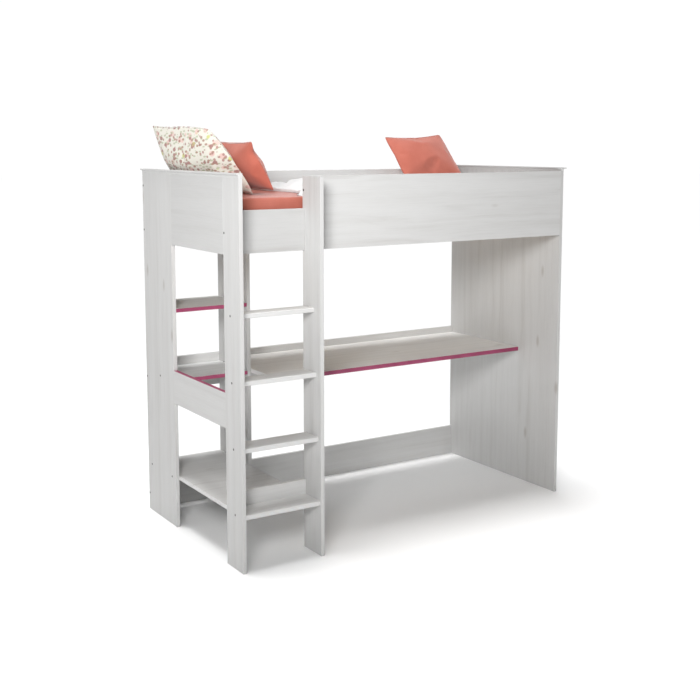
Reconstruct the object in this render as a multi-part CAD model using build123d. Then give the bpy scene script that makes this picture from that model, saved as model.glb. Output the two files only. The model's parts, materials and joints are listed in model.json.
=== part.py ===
from build123d import *
import os

# Loft bed with a desk, a ladder and a small bookcase under it. All sizes are in millimetres.
# Working axes: X runs along the bed from the left end, Y runs back from the front of the
# ladder, Z runs up from the floor. The finished pieces are moved so that the origin is on the
# floor at the middle of the whole bed.

# ---------------------------------------------------------------- driving dimensions
LENGTH = 2060.0            # over the faces of the two end panels
DEPTH = 1110.0             # front of the ladder to the back face
HEIGHT = 1830.0            # floor to the top of the end caps
BOARD = 19.0               # thickness of the panels, rails and shelves
THICK_BOARD = 22.0         # thickness of the desk top and the ladder steps
EASED_EDGE = 0.8           # small bevel on the long edges of every board
BAND = 1.5                 # thickness of the coloured edge banding

CAP_HEIGHT = 20.0          # moulded cap on top of each end
CAP_OVERHANG = 11.0
CAP_NOSE = 6.0             # height of the cap's straight nose above its cove
CAP_COVE = 9.0             # radius of the cove

FRONT_UPRIGHT_WIDTH = 162.0
REAR_UPRIGHT_WIDTH = 362.0
LADDER_CLEAR_WIDTH = 398.0

GUARD_BOTTOM = 1459.0      # lower edge of the guard boards and of the headboard
ENTRY_RAIL_TOP = 1657.0
MID_RAIL_BOTTOM = 650.0    # rail across the left end, at desk height
MID_RAIL_TOP = 820.0
REAR_RAIL_HEIGHT = 178.0   # the rear rail at desk height and the plinth are the same board

DESK_TOP_LEVEL = 784.0
DESK_FRONT = 468.0
BOOK_SHELF_LEVEL = 1134.0
BAY_SHELF_LEVEL = 773.0
BOTTOM_SHELF_LEVEL = 266.0
LIP_TOP = 344.0            # low board along the front of the bottom shelf

FIRST_STEP_LEVEL = 271.0
STEP_RISE = 308.0
STEP_COUNT = 4
LOWEST_STEP_FRONT = 8.0
STEP_SETBACK = 17.0        # each step starts this much further back than the one below
STEP_NOSE_RADIUS = 4.0

LEDGE_BOTTOM = 1478.0      # battens that carry the slats
LEDGE_HEIGHT = 30.0
LEDGE_WIDTH = 25.0
SLAT_COUNT = 14
SLAT_WIDTH = 70.0
SLAT_THICKNESS = 15.0
SLAT_END_GAP = 4.0
SLAT_BEVEL = 2.0
SLAT_END_MARGIN = 25.0     # end panel to the first slat

MATTRESS_LENGTH = 2000.0
MATTRESS_WIDTH = 900.0
MATTRESS_THICKNESS = 184.0
MATTRESS_CORNER = 45.0
MATTRESS_RIM = 14.0        # rounding round the top
SHEET_THICKNESS = 3.0
SHEET_SKIRT = 165.0        # how far the fitted sheet comes down the mattress's sides
DUVET_THICKNESS = 54.0
DUVET_START = 472.0        # where the duvet's turned-back end lies
DUVET_END_GAP = 22.0
DUVET_SIDE_GAP = 5.0
DUVET_CORNER = 60.0
DUVET_RIM = 22.0
DUVET_CLEARANCE = 0.3

# width, height and thickness; the middle; the angle that each leans from upright; and its turn
# about a vertical line
PILLOW_CORNER = 45.0
PILLOW_EDGE = 0.3          # edge rounding as a share of the thickness
PATTERNED_PILLOW_SIZE = (640.0, 352.0, 112.0)
PATTERNED_PILLOW_PLACE = (138.0, 712.0, 1880.0)
PATTERNED_PILLOW_LEAN = 30.0
PLAIN_PILLOW_SIZE = (520.0, 266.0, 108.0)
PLAIN_PILLOW_PLACE = (338.0, 702.0, 1848.0)
PLAIN_PILLOW_LEAN = 23.0
PILLOW_TURN = 5.0
CUSHION_SIZE = (440.0, 290.0, 84.0)
CUSHION_PLACE = (1708.0, 963.0, 1889.0)
CUSHION_LEAN = 45.0

# ---------------------------------------------------------------- worked-out positions
PANEL_TOP = HEIGHT - CAP_HEIGHT
LEFT_INNER = BOARD
RIGHT_INNER = LENGTH - BOARD
STILE_LEFT = LEFT_INNER + LADDER_CLEAR_WIDTH
STILE_RIGHT = STILE_LEFT + BOARD
GUARD_BACK = FRONT_UPRIGHT_WIDTH
GUARD_FRONT = GUARD_BACK - BOARD
GUARD_MID = GUARD_BACK - BOARD / 2
REAR_FRONT = DEPTH - BOARD
REAR_MID = DEPTH - BOARD / 2
REAR_UPRIGHT_FRONT = DEPTH - REAR_UPRIGHT_WIDTH
REAR_RAIL_BOTTOM = MID_RAIL_TOP - REAR_RAIL_HEIGHT
LEDGE_TOP = LEDGE_BOTTOM + LEDGE_HEIGHT
SLAT_TOP = LEDGE_TOP + SLAT_THICKNESS
MATTRESS_TOP = SLAT_TOP + MATTRESS_THICKNESS
SHEET_TOP = MATTRESS_TOP + SHEET_THICKNESS
DUVET_TOP = SHEET_TOP + DUVET_THICKNESS
STEP_LEVELS = [FIRST_STEP_LEVEL + STEP_RISE * i for i in range(STEP_COUNT)]
STEP_FRONTS = [LOWEST_STEP_FRONT + STEP_SETBACK * i for i in range(STEP_COUNT)]

# ---------------------------------------------------------------- fastener sizes
BOLT_HEAD_RADIUS = 5.5
BOLT_HEAD_DEPTH = 4.0
BOLT_NECK_RADIUS = 3.5
BOLT_CORE_RADIUS = 2.5
BOLT_LENGTH = 50.0
BOLT_SOCKET_RADIUS = 2.4   # hexagon, to its corners
BOLT_SOCKET_DEPTH = 3.0
DOWEL_RADIUS = 4.0
DOWEL_IN_PANEL = 12.0
DOWEL_IN_BOARD = 18.0
DOWEL_BEVEL = 1.0
SCREW_HEAD_RADIUS = 4.0
SCREW_HEAD_DEPTH = 2.5
SCREW_CORE_RADIUS = 1.8
CAM_RADIUS = 7.5
CAM_DEPTH = 13.5
CAM_SETBACK = 34.0         # joint line to the centre of the cam
CAM_BOLT_RADIUS = 3.0
CAM_BOLT_IN_EDGE = 11.0
CAM_SLOT = (9.0, 1.6, 3.0) # length, width and twice the depth of each arm of the cross slot

TO_ORIGIN = Location((-LENGTH / 2, -DEPTH / 2, 0))
AIM = {
    "+X": (0, 90, 0),
    "-X": (0, -90, 0),
    "+Y": (-90, 0, 0),
    "-Y": (90, 0, 0),
    "-Z": (180, 0, 0),
}

boards = {}
pieces = {}


def block(length, depth, height):
    """A plain block with its lowest corner at zero."""
    return Box(length, depth, height, align=(Align.MIN, Align.MIN, Align.MIN))


def board(x0, x1, y0, y1, z0, z1, bevel=EASED_EDGE):
    """A flat board between two opposite corners, with its edges eased."""
    solid = block(x1 - x0, y1 - y0, z1 - z0)
    return Pos(x0, y0, z0) * chamfer(solid.edges(), bevel)


def aimed(shape, place, direction):
    """Turn a shape made along +Z to point in a direction, and move its foot to a place."""
    return Location(place, AIM[direction]) * shape


def rod(radius, start, end):
    """A round bar along +Z between two heights."""
    return Pos(0, 0, start) * Cylinder(radius, end - start, align=(Align.CENTER, Align.CENTER, Align.MIN))


# ---------------------------------------------------------------- boards
def make_left_end():
    """Two uprights with the headboard and the mid rail between them, all in one plane."""
    boards["left_front_upright"] = board(0, BOARD, 0, FRONT_UPRIGHT_WIDTH, 0, PANEL_TOP)
    boards["left_rear_upright"] = board(0, BOARD, REAR_UPRIGHT_FRONT, DEPTH, 0, PANEL_TOP)
    inner = (0, BOARD, FRONT_UPRIGHT_WIDTH, REAR_UPRIGHT_FRONT)
    boards["headboard_panel"] = board(*inner, GUARD_BOTTOM, PANEL_TOP)
    boards["left_mid_rail"] = board(*inner, MID_RAIL_BOTTOM, MID_RAIL_TOP - BAND)


def make_right_end():
    boards["right_end_panel"] = board(RIGHT_INNER, LENGTH, GUARD_FRONT, DEPTH, 0, PANEL_TOP)


def make_rails():
    """Long boards that tie the two ends together at the front and the back."""
    boards["front_guard_panel"] = board(
        STILE_RIGHT, RIGHT_INNER, GUARD_FRONT, GUARD_BACK, GUARD_BOTTOM, PANEL_TOP)
    boards["entry_rail"] = board(
        LEFT_INNER, STILE_LEFT, GUARD_FRONT, GUARD_BACK, GUARD_BOTTOM, ENTRY_RAIL_TOP)
    rear = (LEFT_INNER, RIGHT_INNER, REAR_FRONT, DEPTH)
    boards["rear_guard_panel"] = board(*rear, GUARD_BOTTOM, PANEL_TOP)
    boards["rear_mid_rail"] = board(*rear, REAR_RAIL_BOTTOM, MID_RAIL_TOP)
    boards["rear_plinth"] = board(*rear, 0, REAR_RAIL_HEIGHT)


def make_ladder():
    """The right stile; the left front upright is the ladder's other stile."""
    boards["ladder_right_stile"] = board(STILE_LEFT, STILE_RIGHT, 0, FRONT_UPRIGHT_WIDTH, 0, PANEL_TOP)
    for i in range(STEP_COUNT):
        depth = GUARD_FRONT - STEP_FRONTS[i]
        step = Box(LADDER_CLEAR_WIDTH, depth, THICK_BOARD, align=(Align.MIN, Align.MIN, Align.MAX))
        nose = step.edges().filter_by(Axis.X).group_by(Axis.Y)[0]
        step = fillet(nose, STEP_NOSE_RADIUS)
        boards[f"ladder_step_{i + 1}"] = Pos(LEFT_INNER, STEP_FRONTS[i], STEP_LEVELS[i]) * step


def make_bookcase():
    """The divider, its shelves and the desk top, each shelf with its front edge band."""
    boards["divider_panel"] = board(
        STILE_LEFT, STILE_RIGHT, REAR_UPRIGHT_FRONT, REAR_FRONT, 0, LEDGE_BOTTOM)
    bay = (LEFT_INNER, STILE_LEFT)
    banded_front = REAR_UPRIGHT_FRONT + BAND
    boards["book_shelf"] = board(
        *bay, banded_front, REAR_FRONT, BOOK_SHELF_LEVEL - BOARD, BOOK_SHELF_LEVEL)
    boards["bay_shelf"] = board(
        *bay, banded_front, REAR_FRONT, BAY_SHELF_LEVEL - BOARD, BAY_SHELF_LEVEL)
    boards["bottom_shelf"] = board(
        *bay, GUARD_BACK, REAR_FRONT, BOTTOM_SHELF_LEVEL - BOARD, BOTTOM_SHELF_LEVEL)
    boards["bottom_shelf_lip"] = board(
        *bay, GUARD_FRONT, GUARD_BACK, BOTTOM_SHELF_LEVEL - BOARD, LIP_TOP)
    boards["desk_top"] = board(
        STILE_RIGHT, RIGHT_INNER, DESK_FRONT + BAND, REAR_FRONT,
        DESK_TOP_LEVEL - THICK_BOARD, DESK_TOP_LEVEL)


def make_edge_bands():
    """Coloured banding on the shelf fronts, the desk front and the top of the left mid rail."""
    thin = BAND / 4
    pieces["book_shelf_edge_band"] = board(
        LEFT_INNER, STILE_LEFT, REAR_UPRIGHT_FRONT, REAR_UPRIGHT_FRONT + BAND,
        BOOK_SHELF_LEVEL - BOARD, BOOK_SHELF_LEVEL, thin)
    pieces["bay_shelf_edge_band"] = board(
        LEFT_INNER, STILE_LEFT, REAR_UPRIGHT_FRONT, REAR_UPRIGHT_FRONT + BAND,
        BAY_SHELF_LEVEL - BOARD, BAY_SHELF_LEVEL, thin)
    pieces["desk_edge_band"] = board(
        STILE_RIGHT, RIGHT_INNER, DESK_FRONT, DESK_FRONT + BAND,
        DESK_TOP_LEVEL - THICK_BOARD, DESK_TOP_LEVEL, thin)
    pieces["left_mid_rail_edge_band"] = board(
        0, BOARD, FRONT_UPRIGHT_WIDTH, REAR_UPRIGHT_FRONT, MID_RAIL_TOP - BAND, MID_RAIL_TOP, thin)


def moulded_side(face, sign):
    """What sticks out past a panel's face: a straight nose, with a cove below it."""
    nose_low = CAP_HEIGHT - CAP_NOSE
    nose = Pos(face + sign * CAP_OVERHANG / 2, nose_low + CAP_NOSE / 2) * Rectangle(CAP_OVERHANG, CAP_NOSE)
    corner = Pos(face + sign * CAP_COVE / 2, nose_low - CAP_COVE / 2) * Rectangle(CAP_COVE, CAP_COVE)
    return nose + (corner - Pos(face + sign * CAP_COVE, nose_low - CAP_COVE) * Circle(CAP_COVE))


def end_cap(x_middle, y0, y1, returned):
    """A moulded cap along a panel's top. A returned cap carries its moulding round the front end."""
    half = BOARD / 2
    section = Pos(0, CAP_HEIGHT / 2) * Rectangle(BOARD, CAP_HEIGHT)
    section = section + moulded_side(half, 1) + moulded_side(-half, -1)
    front = CAP_OVERHANG if returned else 0
    length = y1 - y0 + front
    solid = Pos(0, -front, 0) * Rotation(90, 0, 0) * extrude(section, -length)
    if returned:
        side = Pos((y1 - y0) / 2, CAP_HEIGHT / 2) * Rectangle(y1 - y0, CAP_HEIGHT) + moulded_side(0, -1)
        across = extrude(side, BOARD + 2 * CAP_OVERHANG, both=True)
        solid = solid & (Rotation(0, 0, 90) * Rotation(90, 0, 0) * across)
    return Pos(x_middle, y0, PANEL_TOP) * solid


def make_caps():
    """The left cap has no moulding on its inner side above the ladder's way in."""
    plain_part = Pos(LEFT_INNER, 0, PANEL_TOP) * block(2 * CAP_OVERHANG, GUARD_BACK, CAP_HEIGHT)
    pieces["left_end_cap"] = end_cap(BOARD / 2, 0, DEPTH, False) - plain_part
    pieces["right_end_cap"] = end_cap(LENGTH - BOARD / 2, GUARD_FRONT, DEPTH, True)


# ---------------------------------------------------------------- slatted base
def make_slat_base():
    """Two battens, one along each side of the bed, and the slats across them."""
    boards["front_slat_ledge"] = board(
        LEFT_INNER, RIGHT_INNER, GUARD_BACK, GUARD_BACK + LEDGE_WIDTH, LEDGE_BOTTOM, LEDGE_TOP)
    boards["rear_slat_ledge"] = board(
        LEFT_INNER, RIGHT_INNER, REAR_FRONT - LEDGE_WIDTH, REAR_FRONT, LEDGE_BOTTOM, LEDGE_TOP)
    for i, x in enumerate(slat_positions()):
        boards[f"slat_{i + 1:02d}"] = board(
            x, x + SLAT_WIDTH, GUARD_BACK + SLAT_END_GAP, REAR_FRONT - SLAT_END_GAP,
            LEDGE_TOP, SLAT_TOP, SLAT_BEVEL)


def slat_positions():
    """Left edge of each slat, evenly spaced between the two ends."""
    first = LEFT_INNER + SLAT_END_MARGIN
    last = RIGHT_INNER - SLAT_END_MARGIN - SLAT_WIDTH
    return [first + (last - first) * i / (SLAT_COUNT - 1) for i in range(SLAT_COUNT)]


# ---------------------------------------------------------------- fasteners
def bolt_body():
    """Connecting bolt along +Z: flush head, plain neck through the panel, screw in the board."""
    head = rod(BOLT_HEAD_RADIUS, 0, BOLT_HEAD_DEPTH)
    neck = rod(BOLT_NECK_RADIUS, BOLT_HEAD_DEPTH, BOARD)
    core = rod(BOLT_CORE_RADIUS, BOARD, BOLT_LENGTH)
    return head + neck + core


def bolt_socket():
    hexagon = RegularPolygon(BOLT_SOCKET_RADIUS, 6)
    return extrude(hexagon, BOLT_SOCKET_DEPTH)


def dowel_body(in_panel, in_board):
    """Fluted-dowel blank along +Z, centred on the joint, with its ends bevelled."""
    blank = rod(DOWEL_RADIUS, -in_panel, in_board)
    return chamfer(blank.edges().filter_by(GeomType.CIRCLE), DOWEL_BEVEL)


def screw_body(length):
    head = rod(SCREW_HEAD_RADIUS, 0, SCREW_HEAD_DEPTH)
    return head + rod(SCREW_CORE_RADIUS, SCREW_HEAD_DEPTH, length)


def drill(tool):
    """Take a fastener's own shape out of every board that it passes through."""
    reach = tool.bounding_box()
    for name, solid in boards.items():
        box = solid.bounding_box()
        apart = (
            reach.min.X > box.max.X or reach.max.X < box.min.X
            or reach.min.Y > box.max.Y or reach.max.Y < box.min.Y
            or reach.min.Z > box.max.Z or reach.max.Z < box.min.Z)
        if not apart:
            boards[name] = solid - tool


def fit_bolts(node, places):
    """Bolts at (place, direction), each drilled into the boards and kept in one group."""
    group = []
    for place, direction in places:
        body = aimed(bolt_body(), place, direction)
        drill(body)
        group.append(body - aimed(bolt_socket(), place, direction))
    pieces[node] = group


def fit_dowels(node, places, in_panel=DOWEL_IN_PANEL, in_board=DOWEL_IN_BOARD):
    group = pieces.setdefault(node, [])
    for place, direction in places:
        body = aimed(dowel_body(in_panel, in_board), place, direction)
        drill(body)
        group.append(body)


def fit_screws(node, length, places):
    group = []
    for place, direction in places:
        body = aimed(screw_body(length), place, direction)
        drill(body)
        group.append(body)
    pieces[node] = group


def step_middle(i):
    """Middle of a step's end, front to back and top to bottom."""
    return (STEP_FRONTS[i] + GUARD_FRONT) / 2, STEP_LEVELS[i] - THICK_BOARD / 2


def make_bolts():
    guard_levels = (1743.0, 1513.0)
    entry_level = 1558.0
    rear_rail_level = REAR_RAIL_BOTTOM + REAR_RAIL_HEIGHT / 2
    plinth_level = REAR_RAIL_HEIGHT / 2
    shelf_level = BOTTOM_SHELF_LEVEL - BOARD / 2
    bay_level = BAY_SHELF_LEVEL - BOARD / 2
    desk_level = DESK_TOP_LEVEL - THICK_BOARD / 2
    shelf_bolts = (797.0, 1062.0)
    bay_bolt = 925.0
    desk_bolts_right = (570.0, 990.0)
    desk_bolts_left = (820.0, 1030.0)
    rear_levels = guard_levels + (rear_rail_level, plinth_level)

    left = [((0, REAR_MID, z), "+X") for z in rear_levels]
    left += [((0, y, shelf_level), "+X") for y in shelf_bolts]
    left.append(((0, bay_bolt, bay_level), "+X"))
    left.append(((0, GUARD_MID, entry_level), "+X"))
    fit_bolts("left_end_bolts", left)

    right = [((LENGTH, REAR_MID, z), "-X") for z in rear_levels]
    right += [((LENGTH, GUARD_MID, z), "-X") for z in guard_levels]
    right += [((LENGTH, y, desk_level), "-X") for y in desk_bolts_right]
    fit_bolts("right_end_bolts", right)

    ladder = [((0, *step_middle(i)), "+X") for i in range(STEP_COUNT)]
    ladder += [((STILE_RIGHT, *step_middle(i)), "-X") for i in range(STEP_COUNT)]
    ladder.append(((STILE_LEFT, GUARD_MID, guard_levels[0]), "+X"))
    ladder.append(((STILE_RIGHT, GUARD_MID, entry_level), "-X"))
    fit_bolts("ladder_bolts", ladder)

    divider = [((STILE_RIGHT, y, shelf_level), "-X") for y in shelf_bolts]
    divider.append(((STILE_RIGHT, bay_bolt, bay_level), "-X"))
    divider += [((STILE_LEFT, y, desk_level), "+X") for y in desk_bolts_left]
    divider_middle = STILE_LEFT + BOARD / 2
    divider += [((divider_middle, DEPTH, z), "-Y") for z in (rear_rail_level, plinth_level)]
    fit_bolts("divider_bolts", divider)


def make_dowels():
    """Plain dowels beside the bolts, and through the stile between the two front boards."""
    node = "wood_dowels"
    step_dowel_reach = 26.0
    lip_level = 315.0
    lip_to_shelf = (80.0, 218.0, 356.0)
    entry_levels = (1490.0, 1625.0)
    guard_levels = (1600.0, 1680.0)
    desk_dowels = (640.0, 780.0, 920.0)
    bay_dowels = (860.0, 990.0)
    shelf_level = BOTTOM_SHELF_LEVEL - BOARD / 2
    desk_level = DESK_TOP_LEVEL - THICK_BOARD / 2
    bay_level = BAY_SHELF_LEVEL - BOARD / 2

    for i in range(STEP_COUNT):
        y, z = step_middle(i)
        for offset in (-step_dowel_reach, step_dowel_reach):
            fit_dowels(node, [((LEFT_INNER, y + offset, z), "+X"), ((STILE_LEFT, y + offset, z), "-X")])
    fit_dowels(node, [((LEFT_INNER, GUARD_MID, lip_level), "+X"),
                      ((STILE_LEFT, GUARD_MID, lip_level), "-X")])
    fit_dowels(node, [((x, GUARD_BACK, shelf_level), "+Y") for x in lip_to_shelf])
    fit_dowels(node, [((LEFT_INNER, GUARD_MID, z), "+X") for z in entry_levels])
    fit_dowels(node, [((STILE_LEFT, GUARD_MID, z), "+X") for z in entry_levels],
               DOWEL_IN_BOARD, BOARD + DOWEL_IN_BOARD)
    fit_dowels(node, [((RIGHT_INNER, GUARD_MID, z), "-X") for z in guard_levels])
    for z in guard_levels:
        fit_dowels(node, [((LEFT_INNER, REAR_MID, z), "+X"), ((RIGHT_INNER, REAR_MID, z), "-X")])
    fit_dowels(node, [((RIGHT_INNER, y, desk_level), "-X") for y in desk_dowels])
    for y in bay_dowels:
        fit_dowels(node, [((LEFT_INNER, y, bay_level), "+X"), ((STILE_LEFT, y, bay_level), "-X")])


def make_cam_fittings():
    """Cam locks and cam bolts that draw the headboard and mid rail to the two uprights."""
    locks = []
    bolts = []
    middle = BOARD / 2
    levels = (1500.0, 1770.0, 690.0, 780.0)
    slot_length, slot_width, slot_depth = CAM_SLOT
    cross = Box(slot_length, slot_width, slot_depth) + Box(slot_width, slot_length, slot_depth)
    for z in levels:
        for edge, inward in ((FRONT_UPRIGHT_WIDTH, 1), (REAR_UPRIGHT_FRONT, -1)):
            direction = "+Y" if inward > 0 else "-Y"
            bolt = aimed(rod(CAM_BOLT_RADIUS, -CAM_BOLT_IN_EDGE, CAM_SETBACK), (middle, edge, z), direction)
            centre = (LEFT_INNER, edge + inward * CAM_SETBACK, z)
            lock = aimed(rod(CAM_RADIUS, 0, CAM_DEPTH), centre, "-X")
            drill(lock)
            drill(bolt)
            locks.append(lock - aimed(cross, centre, "-X") - bolt)
            bolts.append(bolt)
    pieces["cam_locks"] = locks
    pieces["cam_bolts"] = bolts


def make_shelf_pins():
    """Four steel pins that carry the book shelf from below."""
    radius = 2.5
    in_panel = 9.0
    out = 9.0
    rows = (800.0, 1045.0)
    z = BOOK_SHELF_LEVEL - BOARD - radius
    group = []
    for y in rows:
        for face, direction in ((LEFT_INNER, "+X"), (STILE_LEFT, "-X")):
            pin = aimed(rod(radius, -in_panel, out), (face, y, z), direction)
            drill(pin)
            group.append(pin)
    pieces["shelf_pins"] = group


def make_screws():
    """Screws from the battens into the rails, and from the slats into the battens."""
    ledge_screw = 37.0
    slat_screw = 30.0
    z = LEDGE_BOTTOM + LEDGE_HEIGHT / 2
    along = [110.0, 320.0, 600.0, 950.0, 1300.0, 1650.0, 1960.0]
    front = [((x, GUARD_BACK + LEDGE_WIDTH, z), "-Y") for x in along]
    rear = [((x, REAR_FRONT - LEDGE_WIDTH, z), "+Y") for x in along]
    fit_screws("ledge_screws", ledge_screw, front + rear)

    into_ledge = LEDGE_WIDTH / 2
    places = []
    for x in slat_positions():
        middle = x + SLAT_WIDTH / 2
        places.append(((middle, GUARD_BACK + into_ledge, SLAT_TOP), "-Z"))
        places.append(((middle, REAR_FRONT - into_ledge, SLAT_TOP), "-Z"))
    fit_screws("slat_screws", slat_screw, places)


# ---------------------------------------------------------------- bedding
def make_mattress():
    """The mattress, the fitted sheet over it and the duvet, as plain closed solids."""
    x0 = (LENGTH - MATTRESS_LENGTH) / 2
    y0 = (GUARD_BACK + REAR_FRONT - MATTRESS_WIDTH) / 2
    core = block(MATTRESS_LENGTH, MATTRESS_WIDTH, MATTRESS_THICKNESS)
    core = fillet(core.edges().filter_by(Axis.Z), MATTRESS_CORNER)
    core = fillet(core.edges().group_by(Axis.Z)[-1], MATTRESS_RIM)
    mattress = Pos(x0, y0, SLAT_TOP) * core
    pieces["mattress"] = mattress

    wide = MATTRESS_LENGTH + 2 * SHEET_THICKNESS
    deep = MATTRESS_WIDTH + 2 * SHEET_THICKNESS
    cover = Box(wide, deep, SHEET_SKIRT, align=(Align.MIN, Align.MIN, Align.MAX))
    cover = fillet(cover.edges().filter_by(Axis.Z), MATTRESS_CORNER + SHEET_THICKNESS)
    cover = fillet(cover.edges().group_by(Axis.Z)[-1], MATTRESS_RIM + SHEET_THICKNESS)
    cover = Pos(x0 - SHEET_THICKNESS, y0 - SHEET_THICKNESS, SHEET_TOP) * cover
    pieces["fitted_sheet"] = cover - mattress

    end = RIGHT_INNER - DUVET_END_GAP
    duvet = block(end - DUVET_START, MATTRESS_WIDTH - 2 * DUVET_SIDE_GAP, DUVET_THICKNESS)
    duvet = fillet(duvet.edges().filter_by(Axis.Z), DUVET_CORNER)
    duvet = fillet(duvet.edges().group_by(Axis.Z)[-1], DUVET_RIM)
    pieces["duvet"] = Pos(DUVET_START, y0 + DUVET_SIDE_GAP, SHEET_TOP + DUVET_CLEARANCE) * duvet


def pillow(width, height, thickness):
    """A plain pillow block: width along Y, height along Z, thickness along X."""
    body = Box(thickness, width, height)
    body = fillet(body.edges().filter_by(Axis.X), PILLOW_CORNER)
    return fillet(body.edges(), thickness * PILLOW_EDGE)


def make_pillows():
    """Two pillows that lean back on the headboard, and a cushion that leans on the rear guard."""
    for node, size, place, lean in (
        ("patterned_pillow", PATTERNED_PILLOW_SIZE, PATTERNED_PILLOW_PLACE, PATTERNED_PILLOW_LEAN),
        ("plain_pillow", PLAIN_PILLOW_SIZE, PLAIN_PILLOW_PLACE, PLAIN_PILLOW_LEAN),
    ):
        pieces[node] = Location(place) * Rotation(0, 0, PILLOW_TURN) * Rotation(0, -lean, 0) * pillow(*size)
    cushion = Rotation(0, 0, 90) * pillow(*CUSHION_SIZE)
    pieces["plain_cushion"] = Location(CUSHION_PLACE) * Rotation(-CUSHION_LEAN, 0, 0) * cushion


# ---------------------------------------------------------------- build and write
def write(node, shape):
    """Write one node. A group of identical fasteners is written as separate solids."""
    if isinstance(shape, list):
        shape = Compound(children=[s for item in shape for s in item.solids()])
    else:
        solids = shape.solids()
        shape = solids[0] if len(solids) == 1 else Compound(children=list(solids))
    export_step(shape.moved(TO_ORIGIN), f"parts/{node}.step")


def main():
    make_left_end()
    make_right_end()
    make_rails()
    make_ladder()
    make_bookcase()
    make_edge_bands()
    make_caps()
    make_slat_base()
    make_bolts()
    make_dowels()
    make_cam_fittings()
    make_shelf_pins()
    make_screws()
    make_mattress()
    make_pillows()
    os.makedirs("parts", exist_ok=True)
    for node, shape in {**boards, **pieces}.items():
        write(node, shape)


main()
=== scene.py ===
"""Looks for the loft bed: materials for every board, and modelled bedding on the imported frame."""
import json
import math
import random

import bmesh
import bpy
from mathutils import Matrix, Vector, noise

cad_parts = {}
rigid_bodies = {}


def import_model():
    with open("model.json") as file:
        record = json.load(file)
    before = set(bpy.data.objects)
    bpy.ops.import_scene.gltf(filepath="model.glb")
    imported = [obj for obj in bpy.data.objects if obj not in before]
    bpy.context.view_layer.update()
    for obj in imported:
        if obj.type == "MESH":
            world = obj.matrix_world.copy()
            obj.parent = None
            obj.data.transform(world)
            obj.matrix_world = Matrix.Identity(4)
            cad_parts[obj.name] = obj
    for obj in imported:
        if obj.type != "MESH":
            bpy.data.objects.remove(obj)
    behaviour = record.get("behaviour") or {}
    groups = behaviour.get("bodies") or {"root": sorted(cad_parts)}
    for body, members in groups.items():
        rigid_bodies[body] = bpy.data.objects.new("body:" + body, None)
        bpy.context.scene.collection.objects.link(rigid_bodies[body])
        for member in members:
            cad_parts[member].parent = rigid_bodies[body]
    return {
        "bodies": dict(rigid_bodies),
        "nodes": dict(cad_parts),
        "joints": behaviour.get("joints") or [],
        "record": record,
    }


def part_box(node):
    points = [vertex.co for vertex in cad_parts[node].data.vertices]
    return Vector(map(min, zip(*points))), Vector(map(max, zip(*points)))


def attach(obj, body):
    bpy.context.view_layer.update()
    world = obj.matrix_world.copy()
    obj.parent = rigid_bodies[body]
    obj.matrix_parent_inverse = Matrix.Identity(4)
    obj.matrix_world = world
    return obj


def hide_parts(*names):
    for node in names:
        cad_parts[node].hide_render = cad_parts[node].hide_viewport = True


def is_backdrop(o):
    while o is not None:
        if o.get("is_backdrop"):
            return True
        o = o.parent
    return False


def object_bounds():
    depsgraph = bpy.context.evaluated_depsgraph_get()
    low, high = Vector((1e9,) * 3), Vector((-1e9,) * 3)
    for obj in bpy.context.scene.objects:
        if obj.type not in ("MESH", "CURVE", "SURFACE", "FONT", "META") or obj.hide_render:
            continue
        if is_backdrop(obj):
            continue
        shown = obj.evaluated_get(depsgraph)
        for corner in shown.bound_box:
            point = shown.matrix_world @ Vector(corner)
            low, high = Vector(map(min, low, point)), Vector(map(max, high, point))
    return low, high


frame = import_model()
cad_nodes = frame["nodes"]
cad_low, cad_high = (v.copy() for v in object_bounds())


# ---------------------------------------------------------------- camera, floor and lights
# Lengths are in metres and angles in degrees, except the lens and the sensor, in millimetres.
CAMERA_PLACE = (-3.2296, -4.9165, 1.9577)
CAMERA_PITCH = -7.015
CAMERA_TURN = -32.504
CAMERA_LENS = 56.83886
CAMERA_SENSOR = 36.0
CAMERA_SHIFT = -0.1

FLOOR_REACH = 60.0
FLOOR_LEVEL = -0.0005
FLOOR_COLOUR = (0.97, 0.97, 0.97, 1)

WHITE_LIGHT = (1, 1, 1, 1)
FILL_STRENGTH = 0.2
BACKDROP_STRENGTH = 1.02
SUN = {"aim": (0.05, -0.1, -1), "angle": 24, "strength": 2.75}
FRONT_LEFT = {"place": (-3.8, -4.4, 3.3), "aim": (-0.4, 0.2, 1.8), "size": 1.6, "power": 35, "spread": 55}


def make_camera():
    """Above a person's eye height, 33 degrees to the left of square on, looking a little down."""
    data = bpy.data.cameras.new("camera")
    data.sensor_width = CAMERA_SENSOR
    data.lens = CAMERA_LENS
    data.shift_y = CAMERA_SHIFT
    data.clip_start = 0.1
    data.clip_end = 200
    camera = bpy.data.objects.new("camera", data)
    bpy.context.scene.collection.objects.link(camera)
    camera.location = CAMERA_PLACE
    camera.rotation_euler = (math.radians(90 + CAMERA_PITCH), 0, math.radians(CAMERA_TURN))
    bpy.context.scene.camera = camera


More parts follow.
